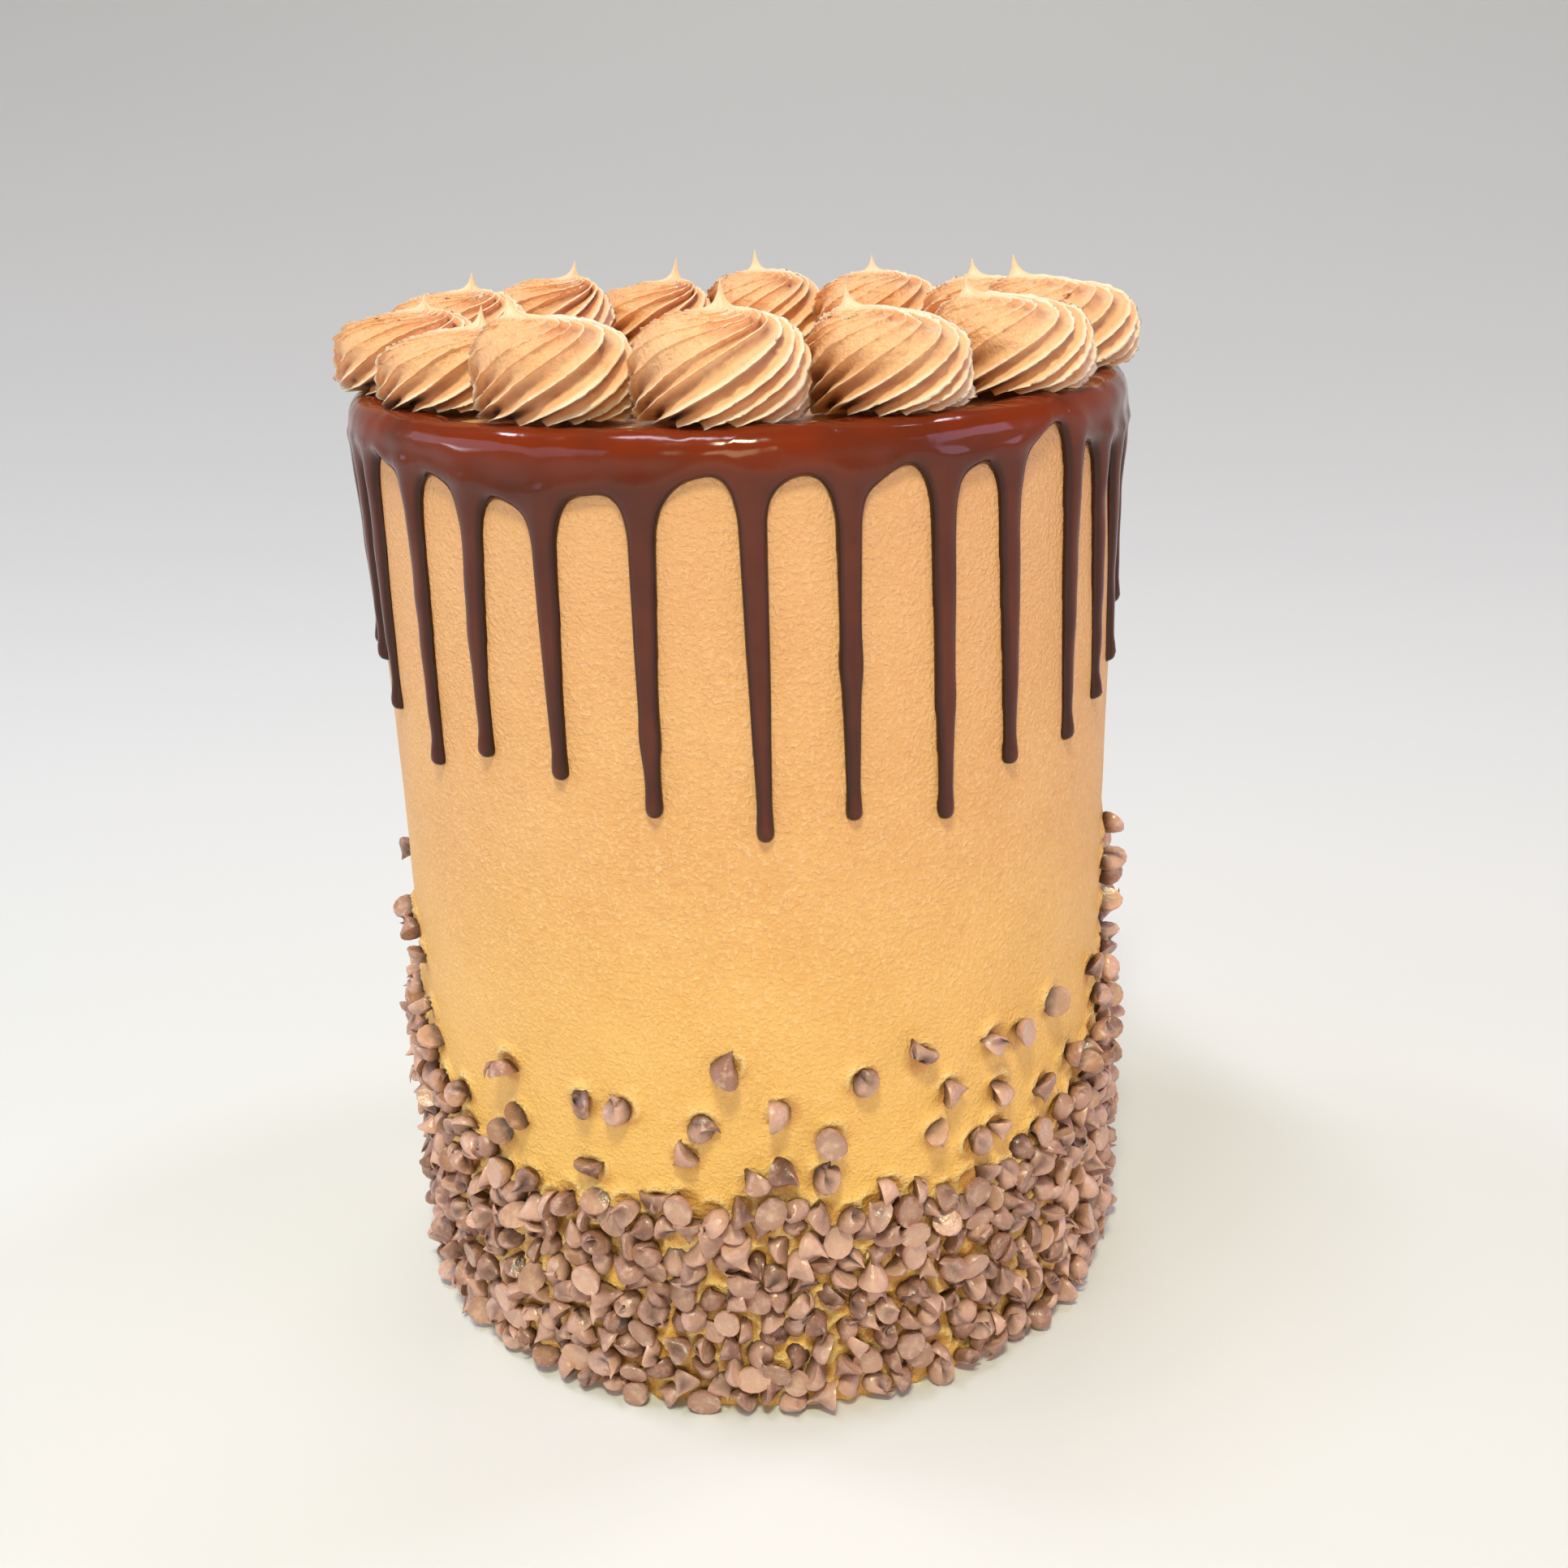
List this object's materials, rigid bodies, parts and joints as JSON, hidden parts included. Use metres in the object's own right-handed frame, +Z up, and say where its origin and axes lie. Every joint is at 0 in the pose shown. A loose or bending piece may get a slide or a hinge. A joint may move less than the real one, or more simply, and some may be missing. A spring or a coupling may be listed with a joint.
{
  "type": "chocolate drip cake",
  "caption": "Tall round frosted layer cake with a glossy chocolate drip rim, a ring of piped rosettes on top and chocolate chips pressed round its foot.",
  "frame": {"origin": "centre of the flat underside, on the surface the cake stands on", "axes": "+Z up along the cake's axis, -Y towards the viewer, +X to the viewer's right"},
  "size_m": [0.1819, 0.182, 0.2467],
  "materials": {
    "buttercream": "smoothed light mocha buttercream on the side and top, satin",
    "rosette_cream": "piped mocha buttercream, satin with soft highlights",
    "ganache": "glossy dark chocolate ganache",
    "chocolate_chips": "matt milk-chocolate chips, fused to the cake node in the solids"
  },
  "bodies": {
    "root": {"cake": "buttercream", "ganache": "ganache", "rosette_01": "rosette_cream", "rosette_02": "rosette_cream", "rosette_03": "rosette_cream", "rosette_04": "rosette_cream", "rosette_05": "rosette_cream", "rosette_06": "rosette_cream", "rosette_07": "rosette_cream", "rosette_08": "rosette_cream", "rosette_09": "rosette_cream", "rosette_10": "rosette_cream", "rosette_11": "rosette_cream", "rosette_12": "rosette_cream", "rosette_13": "rosette_cream"}
  },
  "joints": []
}
